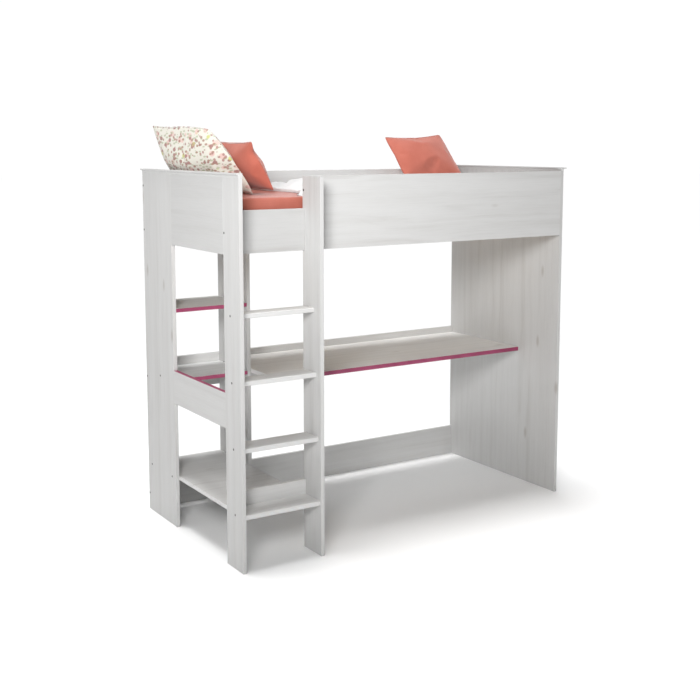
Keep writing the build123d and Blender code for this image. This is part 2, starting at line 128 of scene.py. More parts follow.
def make_floor():
    """A wide white floor just under the bed's feet."""
    material = bpy.data.materials.new("floor")
    material.use_nodes = True
    shader = material.node_tree.nodes["Principled BSDF"]
    shader.inputs["Base Color"].default_value = FLOOR_COLOUR
    shader.inputs["Roughness"].default_value = 0.9
    shader.inputs["Specular IOR Level"].default_value = 0.1
    mesh = bpy.data.meshes.new("floor")
    reach = FLOOR_REACH
    corners = [(-reach, -reach), (reach, -reach), (reach, reach), (-reach, reach)]
    mesh.from_pydata([(x, y, FLOOR_LEVEL) for x, y in corners], [], [(0, 1, 2, 3)])
    mesh.materials.append(material)
    floor = bpy.data.objects.new("floor", mesh)
    bpy.context.scene.collection.objects.link(floor)
    floor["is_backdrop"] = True


def area_light(name, place, aim, size, power, spread):
    """A square light at a place, turned to its aim, that shines only as wide as its spread."""
    data = bpy.data.lights.new(name, "AREA")
    data.shape = "SQUARE"
    data.size = size
    data.energy = power
    data.spread = math.radians(spread)
    light = bpy.data.objects.new(name, data)
    bpy.context.scene.collection.objects.link(light)
    light.location = place
    light.rotation_euler = (Vector(aim) - Vector(place)).to_track_quat("-Z", "Y").to_euler()


def sun_light(name, aim, angle, strength):
    """A distant light that shines along its aim, with shadows as soft as its angle is wide."""
    data = bpy.data.lights.new(name, "SUN")
    data.angle = math.radians(angle)
    data.energy = strength
    light = bpy.data.objects.new(name, data)
    bpy.context.scene.collection.objects.link(light)
    light.rotation_euler = Vector(aim).to_track_quat("-Z", "Y").to_euler()


def make_lights():
    """A white surround, a broad light overhead and a soft square light at the front left."""
    world = bpy.data.worlds.new("studio")
    bpy.context.scene.world = world
    world.use_nodes = True
    nodes, links = world.node_tree.nodes, world.node_tree.links
    fill = nodes["Background"]
    fill.inputs["Color"].default_value = WHITE_LIGHT
    fill.inputs["Strength"].default_value = FILL_STRENGTH
    backdrop = nodes.new("ShaderNodeBackground")
    backdrop.inputs["Color"].default_value = WHITE_LIGHT
    backdrop.inputs["Strength"].default_value = BACKDROP_STRENGTH
    seen = nodes.new("ShaderNodeLightPath")
    blend = nodes.new("ShaderNodeMixShader")
    links.new(seen.outputs["Is Camera Ray"], blend.inputs[0])
    links.new(fill.outputs[0], blend.inputs[1])
    links.new(backdrop.outputs[0], blend.inputs[2])
    links.new(blend.outputs[0], nodes["World Output"].inputs["Surface"])
    sun_light("overhead", **SUN)
    area_light("front_left", **FRONT_LEFT)
    bpy.context.scene.view_settings.view_transform = "Standard"


# ---------------------------------------------------------------- node helpers
NOISE_LOW = 0.3    # a noise texture's values lie mostly between these two
NOISE_HIGH = 0.7
EVEN = (1, 1, 1)   # texture scale that stretches nothing


class Shader:
    """A material's node tree, with short ways to add what the finishes below share."""

    def __init__(self, name):
        self.material = bpy.data.materials.new(name)
        self.material.use_nodes = True
        self.tree = self.material.node_tree
        self.bsdf = self.tree.nodes["Principled BSDF"]

    def add(self, kind, **settings):
        node = self.tree.nodes.new(kind)
        for key, value in settings.items():
            setattr(node, key, value)
        return node

    def link(self, a, b):
        self.tree.links.new(a, b)

    def set(self, **values):
        for key, value in values.items():
            name = key.replace("_", " ")
            self.bsdf.inputs[name].default_value = value

    def coordinates(self, scale, offset=(0, 0, 0)):
        texture = self.add("ShaderNodeTexCoord")
        mapping = self.add("ShaderNodeMapping")
        mapping.inputs["Scale"].default_value = scale
        mapping.inputs["Location"].default_value = offset
        self.link(texture.outputs["Object"], mapping.inputs["Vector"])
        return mapping.outputs["Vector"]

    def noise(self, vector, scale=1.0, detail=3.0, roughness=0.5, distortion=0.0):
        node = self.add("ShaderNodeTexNoise")
        node.inputs["Scale"].default_value = scale
        node.inputs["Detail"].default_value = detail
        node.inputs["Roughness"].default_value = roughness
        node.inputs["Distortion"].default_value = distortion
        self.link(vector, node.inputs["Vector"])
        return node.outputs["Fac"]

    def ramp(self, value, stops):
        node = self.add("ShaderNodeValToRGB")
        elements = node.color_ramp.elements
        while len(elements) < len(stops):
            elements.new(0.5)
        for element, (place, colour) in zip(elements, stops):
            element.position = place
            element.color = (*colour, 1)
        self.link(value, node.inputs["Fac"])
        return node.outputs["Color"]

    def mix(self, factor, a, b, blend="MIX"):
        """Blend two colours. The sockets numbered here are the Mix node's colour ones."""
        node = self.add("ShaderNodeMix", data_type="RGBA", blend_type=blend)
        for socket, value in ((node.inputs["Factor"], factor), (node.inputs[6], a), (node.inputs[7], b)):
            if isinstance(value, (int, float)):
                socket.default_value = value
            elif isinstance(value, tuple):
                socket.default_value = (*value, 1)
            else:
                self.link(value, socket)
        return node.outputs[2]

    def math(self, operation, a, b=0.0):
        node = self.add("ShaderNodeMath", operation=operation)
        for socket, value in zip(node.inputs, (a, b)):
            if isinstance(value, (int, float)):
                socket.default_value = value
            else:
                self.link(value, socket)
        return node.outputs[0]

    def spread(self, value, to_low, to_high, low=NOISE_LOW, high=NOISE_HIGH):
        """Map a value from between low and high to between to_low and to_high."""
        node = self.add("ShaderNodeMapRange")
        for key, number in (("From Min", low), ("From Max", high), ("To Min", to_low), ("To Max", to_high)):
            node.inputs[key].default_value = number
        self.link(value, node.inputs["Value"])
        return node.outputs["Result"]

    def bump(self, height, strength, distance):
        node = self.add("ShaderNodeBump")
        node.inputs["Strength"].default_value = strength
        node.inputs["Distance"].default_value = distance
        self.link(height, node.inputs["Height"])
        self.link(node.outputs["Normal"], self.bsdf.inputs["Normal"])

    def colour(self, socket):
        self.link(socket, self.bsdf.inputs["Base Color"])

    def roughness(self, socket):
        self.link(socket, self.bsdf.inputs["Roughness"])


def grey(value):
    return (value, value, value)


def shaded(colour, amount):
    """The colour with each channel multiplied."""
    return tuple(c * amount for c in colour)


# ---------------------------------------------------------------- wood finishes
ACROSS = {"x": (0, 1, 1), "y": (1, 0, 1), "z": (1, 1, 0)}

# Texture scales along and across the grain, per metre
SWAY_SCALE = (1.6, 5.0)
BAND_SCALE = (0.7, 26.0)
FIBRE_SCALE = (9.0, 520.0)
KNOT_SCALE = (2.3, 6.5)
SWAY_AMOUNT = 1.3
KNOT_EDGE = (0.035, 0.1)    # distance from a knot's middle at which it starts and ends fading

WASH_PALE = (0.58, 0.578, 0.572)
WASH_MID = (0.56, 0.557, 0.55)
WASH_DEEP = (0.52, 0.514, 0.504)
WASH_KNOT = (0.34, 0.31, 0.28)
BARE_PINE = ((0.72, 0.52, 0.3), (0.5, 0.31, 0.15))
BEECH = ((0.66, 0.45, 0.26), (0.5, 0.32, 0.17))
WOOD_RELIEF = 0.0006


def along_grain(axis, scale):
    """Texture scales that stretch a pattern along the board's grain."""
    along, across = scale
    return tuple(across if c else along for c in ACROSS[axis])


def grain_fields(s, axis, seed):
    """Growth bands, fine fibres and knots, each from 0 to 1, in the board's own direction."""
    place = random.Random(seed)
    offset = tuple(place.uniform(-20, 20) for _ in range(3))
    sway = s.noise(s.coordinates(along_grain(axis, SWAY_SCALE), offset), detail=2.0)
    wave = s.add("ShaderNodeVectorMath", operation="SCALE")
    spin = s.add("ShaderNodeCombineXYZ")
    for i in range(3):
        s.link(sway, spin.inputs[i])
    s.link(spin.outputs[0], wave.inputs[0])
    wave.inputs["Scale"].default_value = SWAY_AMOUNT
    shifted = s.add("ShaderNodeVectorMath", operation="ADD")
    s.link(s.coordinates(along_grain(axis, BAND_SCALE), offset), shifted.inputs[0])
    s.link(wave.outputs[0], shifted.inputs[1])
    bands = s.noise(shifted.outputs[0], detail=4.0, roughness=0.6)
    fibres = s.noise(s.coordinates(along_grain(axis, FIBRE_SCALE), offset), detail=3.0, roughness=0.65)
    cells = s.add("ShaderNodeTexVoronoi")
    cells.inputs["Scale"].default_value = 1.0
    s.link(s.coordinates(along_grain(axis, KNOT_SCALE), offset), cells.inputs["Vector"])
    knots = s.spread(cells.outputs["Distance"], 1.0, 0.0, *KNOT_EDGE)
    return bands, fibres, knots


def washed_pine(name, axis, seed, painted_light_tone=1.0):
    """Pine-look board under a thin white wash: the grain only just shows through."""
    s = Shader(name)
    bands, fibres, knots = grain_fields(s, axis, seed)
    # Multiplying the colours lightens or darkens the whole wash: painted light or shade on this board
    pale, mid, deep, knot = (shaded(c, painted_light_tone) for c in (WASH_PALE, WASH_MID, WASH_DEEP, WASH_KNOT))
    wash = s.ramp(bands, [(0.3, deep), (0.44, mid), (0.58, pale)])
    streak = s.ramp(fibres, [(0.3, grey(0.9)), (0.5, grey(1.0))])
    colour = s.mix(0.6, wash, streak, "MULTIPLY")
    colour = s.mix(s.math("MULTIPLY", knots, 0.55), colour, knot)
    s.colour(colour)
    s.roughness(s.spread(fibres, 0.62, 0.5))
    s.set(Specular_IOR_Level=0.32)
    relief = s.math("ADD", s.math("MULTIPLY", fibres, 0.6), s.math("MULTIPLY", bands, 0.4))
    s.bump(relief, 0.25, WOOD_RELIEF)
    return s.material


def raw_wood(name, axis, seed, colours):
    """Planed bare wood: clear bands and fibres, with a few knots."""
    s = Shader(name)
    pale, dark = colours
    bands, fibres, knots = grain_fields(s, axis, seed)
    middle = tuple((a + b) / 2 for a, b in zip(pale, dark))
    colour = s.ramp(bands, [(0.32, dark), (0.48, middle), (0.62, pale)])
    colour = s.mix(0.5, colour, s.ramp(fibres, [(0.3, grey(0.72)), (0.6, grey(1.0))]), "MULTIPLY")
    colour = s.mix(s.math("MULTIPLY", knots, 0.8), colour, shaded(dark, 0.45))
    s.colour(colour)
    s.roughness(s.spread(fibres, 0.7, 0.55))
    s.bump(fibres, 0.4, WOOD_RELIEF)
    return s.material


# ---------------------------------------------------------------- metal and plastic
PLUM_DARK = (0.27, 0.035, 0.095)
PLUM_LIGHT = (0.33, 0.05, 0.125)
BRONZE_DARK = (0.012, 0.011, 0.01)
BRONZE_LIGHT = (0.03, 0.027, 0.025)
ZINC_DARK = (0.42, 0.42, 0.43)
ZINC_LIGHT = (0.6, 0.6, 0.58)


def edge_banding():
    """Satin plum banding, very slightly uneven."""
    s = Shader("edge_banding")
    fine = s.noise(s.coordinates(EVEN), 900, 2)
    broad = s.noise(s.coordinates(EVEN), 9, 2)
    s.colour(s.ramp(broad, [(NOISE_LOW, PLUM_DARK), (NOISE_HIGH, PLUM_LIGHT)]))
    s.roughness(s.spread(fine, 0.36, 0.5))
    s.bump(fine, 0.15, 0.0003)
    return s.material


def metal(name, dark, light, smooth_end, rough_end, metallic=1.0):
    """Metal whose tint and roughness both vary between two ends."""
    s = Shader(name)
    fine = s.noise(s.coordinates(EVEN), 1400, 3)
    broad = s.noise(s.coordinates(EVEN), 120, 2)
    s.colour(s.ramp(broad, [(NOISE_LOW, dark), (NOISE_HIGH, light)]))
    s.roughness(s.spread(fine, smooth_end, rough_end))
    s.set(Metallic=metallic)
    s.bump(fine, 0.2, 0.0002)
    return s.material


# ---------------------------------------------------------------- cloth finishes
THREADS = 260.0
WEAVE_RELIEF = 0.0006
TERRACOTTA = ((0.46, 0.13, 0.09), (0.54, 0.165, 0.12))
# The same terracotta cloth as the pillows, painted darker for the sheet: painted shade
SHADED_SHEET_TERRACOTTA = ((0.37, 0.108, 0.076), (0.43, 0.135, 0.1))
WHITE = (grey(0.63), grey(0.69))
TICKING = ((0.7, 0.69, 0.66), (0.78, 0.77, 0.74))
CREAM = (0.67, 0.65, 0.58)
INK_COVER = 0.85

# The print, layer by layer: motif size in metres, place, reach, squash and ink
PRINT = (
    (0.055, (3.1, 0.2, 0), 0.36, 1.3, (0.66, 0.45, 0.41)),
    (0.034, (0.9, 5.2, 0), 0.36, 2.6, (0.4, 0.43, 0.3)),
    (0.05, (5.5, 2.4, 0), 0.31, 1.6, (0.3, 0.13, 0.12)),
    (0.04, (2.2, 7.7, 0), 0.28, 1.9, (0.34, 0.2, 0.15)),
    (0.095, (7.4, 4.1, 0), 0.22, 1.5, (0.5, 0.52, 0.16)),
    (0.03, (4.4, 9.3, 0), 0.28, 1.1, (0.37, 0.2, 0.18)),
)


def weave_height(s):
    """Fine threads along all three axes with slubs over them, as a height."""
    position = s.coordinates(EVEN)
    waves = []
    for direction in ("X", "Y", "Z"):
        wave = s.add("ShaderNodeTexWave", wave_type="BANDS", bands_direction=direction, wave_profile="SIN")
        wave.inputs["Scale"].default_value = THREADS
        wave.inputs["Distortion"].default_value = 0.6
        wave.inputs["Detail"].default_value = 1.0
        s.link(position, wave.inputs["Vector"])
        waves.append(wave.outputs["Fac"])
    slubs = s.noise(position, 160, 3)
    total = s.math("ADD", s.math("ADD", waves[0], waves[1]), waves[2])
    return s.math("ADD", s.math("MULTIPLY", total, 0.25), s.math("MULTIPLY", slubs, 0.5))


def finish_weave(s, colour, height, depth, darkest, sheen):
    """Darken the colour between the threads as painted shade, and give the cloth its sheen and relief."""
    shade = s.ramp(height, [(0.35, grey(darkest)), (0.65, grey(1.0))])
    s.colour(s.mix(depth, colour, shade, "MULTIPLY"))
    s.set(Roughness=0.9, Specular_IOR_Level=0.15, Sheen_Weight=sheen, Sheen_Roughness=0.5)
    s.bump(height, 0.25, WEAVE_RELIEF)
    return s.material


def plain_cotton(name, tints, sheen=0.25):
    """Cotton whose tint drifts softly between two."""
    s = Shader(name)
    height = weave_height(s)
    broad = s.noise(s.coordinates(EVEN), 7, 3)
    colour = s.ramp(broad, [(NOISE_LOW, tints[0]), (NOISE_HIGH, tints[1])])
    return finish_weave(s, colour, height, 0.35, 0.8, sheen)


def motif(s, position, size, offset, reach, squash):
    """Scattered soft-edged blots: 1 inside a motif and 0 outside."""
    mapping = s.add("ShaderNodeMapping")
    mapping.inputs["Location"].default_value = offset
    mapping.inputs["Scale"].default_value = (1 / size, squash / size, 0.8 / size)
    mapping.inputs["Rotation"].default_value = (0, 0, offset[0])
    s.link(position, mapping.inputs["Vector"])
    cells = s.add("ShaderNodeTexVoronoi")
    cells.inputs["Scale"].default_value = 1.0
    cells.inputs["Randomness"].default_value = 0.8
    s.link(mapping.outputs["Vector"], cells.inputs["Vector"])
    return s.spread(cells.outputs["Distance"], 0.0, 1.0, reach, reach * 0.8)


def printed_cotton():
    """Cream cotton with a generic scatter of leaves, dots and stalks."""
    s = Shader("printed_cotton")
    height = weave_height(s)
    position = s.coordinates(EVEN)
    colour = CREAM
    for size, offset, reach, squash, ink in PRINT:
        inside = motif(s, position, size, offset, reach, squash)
        colour = s.mix(s.math("MULTIPLY", inside, INK_COVER), colour, ink)
    return finish_weave(s, colour, height, 0.3, 0.85, 0.2)


# ---------------------------------------------------------------- finishes on the CAD pieces
# Boards by the axis that their grain runs along
GRAIN = {
    "z": ["left_front_upright", "left_rear_upright", "right_end_panel", "ladder_right_stile",
          "divider_panel"],
    "y": ["headboard_panel", "left_mid_rail", "left_end_cap", "right_end_cap"],
    "x": ["front_guard_panel", "entry_rail", "rear_guard_panel", "rear_mid_rail", "rear_plinth",
          "ladder_step_1", "ladder_step_2", "ladder_step_3", "ladder_step_4", "book_shelf",
          "bay_shelf", "bottom_shelf", "bottom_shelf_lip", "desk_top"],
}


# Painted light and shade: how much lighter or darker each board's wash is made than the base colour, which
# the other boards keep. Lighter boards, such as the desk and shelves in the shade under the bed, stand in for
# light, and darker boards, such as the entry rail and headboard, stand in for shade
PAINTED_LIGHT_TONE = {
    "desk_top": 1.38,
    "bay_shelf": 1.16,
    "bottom_shelf": 1.18,
    "bottom_shelf_lip": 1.14,
    "book_shelf": 1.1,
    "ladder_step_1": 1.12,
    "ladder_step_2": 1.1,
    "ladder_step_3": 1.1,
    "ladder_step_4": 1.1,
    "rear_guard_panel": 1.08,
    "rear_mid_rail": 1.12,
    "front_guard_panel": 1.03,
    "entry_rail": 0.85,
    "headboard_panel": 0.94,
}
SLAT_COUNT = 14


def paint(node, material):
    """Give a CAD piece one material."""
    slots = cad_nodes[node].data.materials
    slots.clear()
    slots.append(material)


def finish_boards():
    """Washed pine on the boards, and bare pine on the slats and their ledges."""
    for axis, nodes in GRAIN.items():
        for node in nodes:
            # The tone passed here is painted light or shade on the board, not a different wash
            paint(node, washed_pine("pine_" + node, axis, node, PAINTED_LIGHT_TONE.get(node, 1.0)))
    for node in ("front_slat_ledge", "rear_slat_ledge"):
        paint(node, raw_wood("bare_" + node, "x", node, BARE_PINE))
    for i in range(1, SLAT_COUNT + 1):
        node = f"slat_{i:02d}"
        paint(node, raw_wood("bare_" + node, "y", node, BARE_PINE))


def finish_fittings():
    """Edge bands, bolts, cams, pins, screws and dowels."""
    plum = edge_banding()
    for node in cad_nodes:
        if node.endswith("edge_band"):
            paint(node, plum)
    bronze = metal("dark_bronze", BRONZE_DARK, BRONZE_LIGHT, 0.4, 0.6, 0.2)
    for node in ("left_end_bolts", "right_end_bolts", "ladder_bolts", "divider_bolts"):
        paint(node, bronze)
    zinc = metal("zinc_plate", ZINC_DARK, ZINC_LIGHT, 0.3, 0.5)
    for node in ("cam_locks", "cam_bolts", "shelf_pins", "ledge_screws", "slat_screws"):
        paint(node, zinc)
    paint("wood_dowels", raw_wood("beech_dowels", "x", "dowels", BEECH))


# ---------------------------------------------------------------- bedding: shared steps
CORNER_ROUNDING = 0.035    # how much nearer a corner lies than it would on a rectangle
ON_RIM = 1e-7              # a point of a flat envelope lower than this is on its rim
TINY = 1e-6
REMESH_VOXEL = 0.012


def piece_from(name, mesh, place=None):
    """A new object of the mesh, at the frame's origin unless a place is given."""
    piece = bpy.data.objects.new(name, mesh)
    bpy.context.scene.collection.objects.link(piece)
    if place is not None:
        piece.matrix_world = place
    bpy.context.view_layer.update()
    return piece


def envelope(name, width, height, step, loft):
    """Two layers of cloth joined round the rim, lying flat with a little filling between."""
    columns, rows = round(width / step), round(height / step)
    shape = bmesh.new()
    upper, lower = {}, {}
    for i in range(columns + 1):
        for j in range(rows + 1):
            u, v = 2 * i / columns - 1, 2 * j / rows - 1
            rounding = 1 - CORNER_ROUNDING * (u * v) ** 4
            x, y = width / 2 * u * rounding, height / 2 * v * rounding
            rise = loft * (1 - u ** 6) * (1 - v ** 6)
            upper[i, j] = shape.verts.new((x, y, rise))
            on_rim = i in (0, columns) or j in (0, rows)
            lower[i, j] = upper[i, j] if on_rim else shape.verts.new((x, y, -rise))
    for i in range(columns):
        for j in range(rows):
            quad = ((i, j), (i + 1, j), (i + 1, j + 1), (i, j + 1))
            shape.faces.new([upper[k] for k in quad])
            shape.faces.new([lower[k] for k in reversed(quad)])
    mesh = bpy.data.meshes.new(name)
    shape.to_mesh(mesh)
    shape.free()
    rim = [i for i in range(len(mesh.vertices)) if abs(mesh.vertices[i].co.z) < ON_RIM]
    return mesh, rim


def inflate(piece, pressure, frames, bending, shrink, reach, pin=None):
    """Blow the cloth up with gravity off. A point slides sideways no further than its reach."""
    scene = bpy.context.scene
    cloth = piece.modifiers.new("cloth", "CLOTH")
    settings = cloth.settings
    settings.quality = 5
    settings.mass = 0.25
    settings.tension_stiffness = 18
    settings.compression_stiffness = 12
    settings.shear_stiffness = 6
    settings.bending_stiffness = bending
    settings.use_pressure = True
    settings.uniform_pressure_force = pressure
    settings.shrink_min = shrink
    settings.effector_weights.gravity = 0
    if pin is not None:
        group = piece.vertex_groups.new(name="pin")
        group.add(pin, 1.0, "REPLACE")
        settings.vertex_group_mass = "pin"
    cloth.collision_settings.use_collision = False
    cloth.point_cache.frame_start = 1
    cloth.point_cache.frame_end = frames
    for frame in range(1, frames + 1):
        scene.frame_set(frame)
    graph = bpy.context.evaluated_depsgraph_get()
    settled = bpy.data.meshes.new_from_object(piece.evaluated_get(graph))
    points = [v.co.copy() for v in settled.vertices]
    piece.modifiers.remove(cloth)
    bpy.data.meshes.remove(settled)
    scene.frame_set(1)
    for vertex, point in zip(piece.data.vertices, points):
        slide = (point - vertex.co).to_2d()
        if slide.length > TINY:
            slide *= reach * (1 - math.exp(-slide.length / reach)) / slide.length
        vertex.co = (vertex.co.x + slide.x, vertex.co.y + slide.y, point.z)


def fit_thickness(mesh, thickness):
    """Scale the filling so that the crown is as thick as asked."""
    high = max(v.co.z for v in mesh.vertices)
    low = min(v.co.z for v in mesh.vertices)
    ratio = thickness / max(high - low, TINY)
    for vertex in mesh.vertices:
        vertex.co.z *= ratio


def bend_mesh(mesh, change):
    """Move every point of a mesh by a function of its place."""
    for vertex in mesh.vertices:
        vertex.co = change(vertex.co.copy())


def in_world(piece, change):
    """Move every point by a function of its place in the row frame."""
    there = piece.matrix_world.copy()
    back = there.inverted()
    for vertex in piece.data.vertices:
        vertex.co = back @ change(there @ vertex.co)


def soften(mesh, amount):
    """Even out a mesh a little, so that a dent has no hard edge."""
    shape = bmesh.new()
    shape.from_mesh(mesh)
    bmesh.ops.smooth_vert(
        shape, verts=shape.verts, factor=amount, use_axis_x=True, use_axis_y=True, use_axis_z=True)
    shape.to_mesh(mesh)
    shape.free()


def ordered_loop(mesh, rim):
    """The rim's points in order round the edge."""
    inside = set(rim)
    neighbours = {i: [] for i in rim}
    for a, b in (e.vertices for e in mesh.edges):
        if a in inside and b in inside:
            neighbours[a].append(b)
            neighbours[b].append(a)
    order = [rim[0], neighbours[rim[0]][0]]
    while len(order) < len(rim):
        order += [n for n in neighbours[order[-1]] if n != order[-2]]
    return [mesh.vertices[i].co.copy() for i in order]


def smooth(piece, levels=0):
    """Shade a piece smooth, and round its faces off if levels are asked for."""
    for face in piece.data.polygons:
        face.use_smooth = True
    if levels:
        rounding = piece.modifiers.new("smooth", "SUBSURF")
        rounding.levels = levels
        rounding.render_levels = levels


def cloth_roll(name, points, radius, roundness, material, place=None):
    """A thin roll of cloth along a closed line of points, fixed to the bed."""
    curve = bpy.data.curves.new(name, "CURVE")
    curve.dimensions = "3D"
    curve.bevel_depth = radius
    curve.bevel_resolution = roundness
    spline = curve.splines.new("POLY")
    spline.points.add(len(points) - 1)
    for place_on_line, point in zip(points, spline.points):
        point.co = (*place_on_line, 1)
    spline.use_cyclic_u = True
    curve.materials.append(material)
    line = bpy.data.objects.new(name, curve)
    bpy.context.scene.collection.objects.link(line)
    mesh = bpy.data.meshes.new_from_object(line)
    bpy.data.objects.remove(line)
    roll = piece_from(name, mesh, place)
    smooth(roll)
    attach(roll, "root")


def seam_roll(name, piece, rim, radius, material):
    """The sewn edge of a cushion: a roll of cloth round its rim."""
    cloth_roll(name, ordered_loop(piece.data, rim), radius, 2, material, piece.matrix_world.copy())


def finish_soft(piece, node, material, levels=1):
    """Cover a piece, smooth it by the levels asked and let it stand for its CAD solid."""
    piece.data.materials.clear()
    piece.data.materials.append(material)
    smooth(piece, levels)
    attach(piece, "root")
    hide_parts(node)


def wrinkle(point, scale, stretch, seed):
    """Soft ridges, from 0 to 1, where a noise field crosses zero."""
    place = Vector((point.x * stretch[0], point.y * stretch[1], point.z * stretch[2])) * scale
    value = noise.noise(place + Vector((seed, seed * 1.7, -seed)))
    return (1 - abs(value) * 2) ** 2 if abs(value) < 0.5 else 0.0


# ---------------------------------------------------------------- pillows and cushion
PILLOW_STEP = 0.011        # spacing of the points of the cloth
PILLOW_LOFT = 0.012        # height of the envelope before it is blown up
PILLOW_SOFTENING = 0.35
SEAM_RADIUS = 0.0016
SUNK_SHARE = 0.04          # a point below the bed's top keeps this share of its depth
SUNK_LIFT = 0.004
CUSHION_SINKS = 0.008      # depth to which the cushion presses into the duvet
WALL_GAP = 0.004
CAP_GAPS = (0.001, 0.002)  # sideways and upwards, between a pillow and the end cap


def leaning_place(node, lean, facing):
    """Where a flat pillow goes: its middle at the CAD block's middle, its height leaning back."""
    low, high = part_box(node)
    upright = Matrix(((0, 0, 1), (1, 0, 0), (0, 1, 0))).to_4x4()
    tilt = Matrix.Rotation(math.radians(-lean), 4, "Y")
    spin = Matrix.Rotation(math.radians(facing), 4, "Z")
    return Matrix.Translation((low + high) / 2) @ spin @ tilt @ upright


def keep_clear(floor_level, wall_y, edge_x=None, edge_top=None):
    """A rule that keeps points above the bed, off the rear guard and off the headboard's cap."""
    def rule(point):
        if point.z < floor_level:
            point.z = floor_level + (point.z - floor_level) * SUNK_SHARE + SUNK_LIFT
        if edge_x is not None and point.x < edge_x and point.z < edge_top:
            if edge_x - point.x < edge_top - point.z:
                point.x = edge_x
            else:
                point.z = edge_top
        point.y = min(point.y, wall_y)
        return point
    return rule


def patterned_shape(p):
    """The near side bows out at its middle, while its upper corner is drawn inwards and down."""
    half_width, half_height = 0.33, 0.205
    upper_pull, lower_push, bow = 0.085, 0.035, 0.055
    corner_drop = 0.035
    curl = 0.02
    v = p.y / half_height
    near, up = max(0.0, -p.x / half_width), (v + 1) / 2
    p.x += near * (upper_pull * up ** 2 - lower_push * (1 - up) ** 2 - bow * (1 - v * v))
    p.y -= corner_drop * (near * up) ** 2
    p.z += curl * v * v - curl / 2
    return p


def plain_shape(p):
    """The near side has a dent a little above its middle, and the whole pillow twists slightly."""
    half_width, half_height = 0.27, 0.15
    dent, dent_level, dent_height = 0.045, 0.45, 0.28
    twist = 0.012
    u, v = p.x / half_width, p.y / half_height
    p.x += dent * max(0.0, -u) ** 4 * math.exp(-((v - dent_level) / dent_height) ** 2)
    p.z += twist * math.sin(3 * u + 1) * v
    return p


def cushion_shape(p):
    """The upper edge slopes across the cushion, and the middle of its upper half is set back."""
    half_width, half_height = 0.225, 0.165
    slope = 0.055
    dip = 0.008
    u, v = p.x / half_width, p.y / half_height
    p.y += slope * p.x * (v + 1) / 2
    p.z -= dip * (1 - u * u) * max(0.0, v)
    return p


def make_pillow(node, size, lean, facing, shape, rule, material):
    """A blown-up envelope, shaped, leaned and kept off what it rests on, with a sewn rim."""
    width, height, thickness = size
    mesh, rim = envelope(node, width, height, PILLOW_STEP, PILLOW_LOFT)
    piece = piece_from(node + "_soft", mesh)
    inflate(piece, pressure=5.0, frames=26, bending=0.25, shrink=-0.015, reach=0.02)
    fit_thickness(mesh, thickness)
    bend_mesh(mesh, shape)
    piece.matrix_world = leaning_place(node, lean, facing)
    bpy.context.view_layer.update()
    in_world(piece, rule)
    soften(mesh, PILLOW_SOFTENING)
    finish_soft(piece, node, material)
    seam_roll(node + "_seam", piece, rim, SEAM_RADIUS, material)


def make_pillows(terracotta, printed):
    """Two pillows at the headboard and a cushion at the rear guard."""
    bed_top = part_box("fitted_sheet")[1].z + 0.001
    duvet_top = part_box("duvet")[1].z - CUSHION_SINKS
    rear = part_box("rear_guard_panel")[0].y - WALL_GAP
    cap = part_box("left_end_cap")[1]
    off_cap = (cap.x + CAP_GAPS[0], cap.z + CAP_GAPS[1])
    make_pillow("patterned_pillow", (0.66, 0.41, 0.17), 30, 5, patterned_shape,
                keep_clear(bed_top, rear, *off_cap), printed)
    make_pillow("plain_pillow", (0.54, 0.29, 0.13), 23, 5, plain_shape,
                keep_clear(bed_top, rear), terracotta)
    make_pillow("plain_cushion", (0.45, 0.34, 0.12), 43, -90, cushion_shape,
                keep_clear(duvet_top, rear), terracotta)


# ---------------------------------------------------------------- mattress and sheet
TAPE_RADIUS = 0.004
TAPE_LEVEL = 0.006         # height of the tape's middle above the mattress's underside
TAPE_CORNER = 0.045
TAPE_INSET = 0.001
SHEET_LIMIT = 0.004        # highest that a crease may rise over the CAD sheet
SKIRT_DROP = 0.17          # drop over which the sheet's gathers grow to their full depth


def remeshed_copy(node, name):
    """The node's own shape, closed again in even faces, as a new mesh."""
    piece = piece_from(name, cad_nodes[node].data.copy())
    remesh = piece.modifiers.new("remesh", "REMESH")
    remesh.mode = "VOXEL"
    remesh.voxel_size = REMESH_VOXEL
    graph = bpy.context.evaluated_depsgraph_get()
    mesh = bpy.data.meshes.new_from_object(piece.evaluated_get(graph))
    bpy.data.objects.remove(piece)
    return piece_from(name, mesh)


def make_mattress(ticking):
    """Foam block with gathered sides, a quilted underside and a tape round its lower rim."""
    low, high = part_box("mattress")
    piece = remeshed_copy("mattress", "mattress_body")
    middle = (low + high) / 2
    half = (high.z - low.z) / 2
    side_depth, underside_depth = 0.006, 0.002
    rim_pull, gather, gather_length = 0.004, 0.002, 0.11
    quilting = 42

    def quilt(p):
        side = min(p.x - low.x, high.x - p.x, p.y - low.y, high.y - p.y)
        if side < side_depth:
            from_middle = ((p.z - middle.z) / half) ** 2
            wave = 0.5 + 0.5 * math.cos((p.x + p.y) * 2 * math.pi / gather_length)
            pull = rim_pull * from_middle + gather * wave
            p += (Vector((middle.x, middle.y, p.z)) - p).normalized() * pull
        elif p.z < low.z + underside_depth:
            p.z += underside_depth * (0.5 + 0.5 * math.cos(p.x * quilting) * math.cos(p.y * quilting))
        return p

    bend_mesh(piece.data, quilt)
    finish_soft(piece, "mattress", ticking, 0)
    cloth_roll("mattress_tape", tape_line(low, high), TAPE_RADIUS, 3, ticking)


def tape_line(low, high):
    """Points round the mattress's lower rim, with rounded corners."""
    points = []
    for x, y, start in ((high.x, high.y, 0), (low.x, high.y, 90), (low.x, low.y, 180), (high.x, low.y, 270)):
        inward = Vector((math.copysign(TAPE_CORNER, x - (low.x + high.x) / 2),
                         math.copysign(TAPE_CORNER, y - (low.y + high.y) / 2), 0))
        centre = Vector((x, y, low.z + TAPE_LEVEL)) - inward
        for turn in range(0, 91, 15):
            angle = math.radians(start + turn)
            points.append(centre + Vector((math.cos(angle), math.sin(angle), 0)) * (TAPE_CORNER - TAPE_INSET))
    return points


